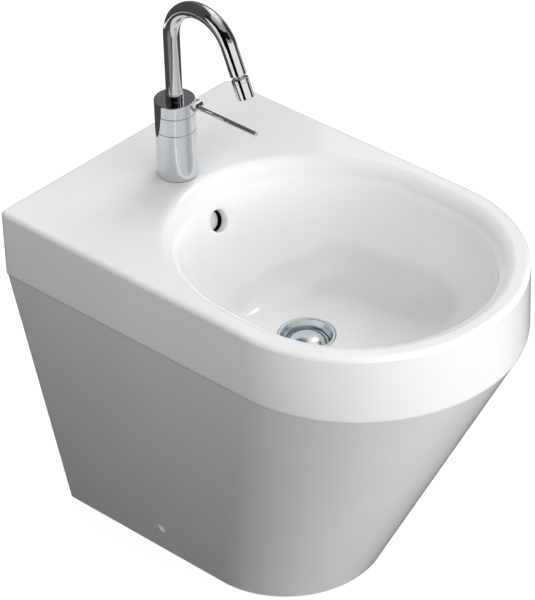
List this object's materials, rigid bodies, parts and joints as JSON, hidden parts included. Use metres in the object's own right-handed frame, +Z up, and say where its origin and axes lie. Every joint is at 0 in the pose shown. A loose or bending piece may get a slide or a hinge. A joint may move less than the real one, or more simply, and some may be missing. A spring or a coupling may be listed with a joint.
{
  "type": "floor standing bidet",
  "caption": "Floor standing ceramic bidet that stands back to the wall, with a side-lever mixer tap, swivelling spout, tilting aerator and push-to-close waste.",
  "frame": {"origin": "on the floor, under the middle of the body's width and depth", "axes": "+Z up, front of the basin towards -Y, back against the wall at +Y, tap lever on +X"},
  "size_m": [0.36, 0.536, 0.654],
  "materials": {
    "glazed_ceramic": "gloss white glaze",
    "chrome": "polished chrome plate",
    "brass": "turned brass",
    "rubber": "black rubber",
    "steel": "zinc plated steel",
    "white_plastic": "gloss white plastic",
    "grey_plastic": "moulded plastic"
  },
  "bodies": {
    "bidet": {"ceramic_body": "glazed_ceramic", "bracket_left": "grey_plastic", "bracket_right": "grey_plastic", "bracket_screw_left": "steel", "bracket_screw_right": "steel", "bracket_sleeve_left": "grey_plastic", "bracket_sleeve_right": "grey_plastic", "screw_cap_left": "white_plastic", "screw_cap_right": "white_plastic", "waste_body": "chrome", "flange_seal": "rubber", "waste_lower_seal": "rubber", "waste_washer": "grey_plastic", "waste_nut": "brass", "click_mechanism": "grey_plastic", "tap_gasket": "rubber", "tap_housing": "chrome", "mixing_cartridge": "grey_plastic", "cartridge_nut": "brass", "water_riser": "brass", "tap_top_cap": "chrome", "spout_grub_screw": "steel", "tap_stud": "steel", "stud_rubber_washer": "rubber", "stud_metal_washer": "steel", "stud_nut": "brass"},
    "control_ring": {"control_ring": "chrome"},
    "lever": {"lever_hub": "chrome", "lever_rod": "chrome", "spindle_clip": "steel"},
    "spout": {"spout_foot": "chrome", "spout_o_rings": "rubber", "spout_tube": "chrome", "swivel_ball": "chrome"},
    "ball_seat": {"ball_seat": "grey_plastic"},
    "aerator": {"socket_ring": "chrome", "aerator_housing": "chrome", "aerator_insert": "grey_plastic"},
    "plug": {"plug_dome": "chrome", "plug_seal": "rubber", "plug_stem": "steel"}
  },
  "joints": [
    {"name": "temperature_turn", "type": "hinge", "parent": "bidet", "child": "control_ring", "pos_m": [0, 0.173, 0.4967], "axis": [0, 0, 1], "range_deg": [-40, 40]},
    {"name": "lever_lift", "type": "hinge", "parent": "control_ring", "child": "lever", "pos_m": [0, 0.173, 0.4967], "axis": [-1, 0, 0], "range_deg": [0, 25]},
    {"name": "spout_swivel", "type": "hinge", "parent": "bidet", "child": "spout", "pos_m": [0, 0.173, 0.522], "axis": [0, 0, 1], "range_deg": [-60, 60]},
    {"name": "aerator_pitch", "type": "hinge", "parent": "spout", "child": "ball_seat", "pos_m": [0, 0.07363, 0.58142], "axis": [1, 0, 0], "range_deg": [-12, 12]},
    {"name": "aerator_roll", "type": "hinge", "parent": "ball_seat", "child": "aerator", "pos_m": [0, 0.07363, 0.58142], "axis": [0, 0.9272, -0.3746], "range_deg": [-12, 12]},
    {"name": "plug_lift", "type": "slide", "parent": "bidet", "child": "plug", "axis": [0, 0, 1], "range_m": [0, 0.009]}
  ]
}
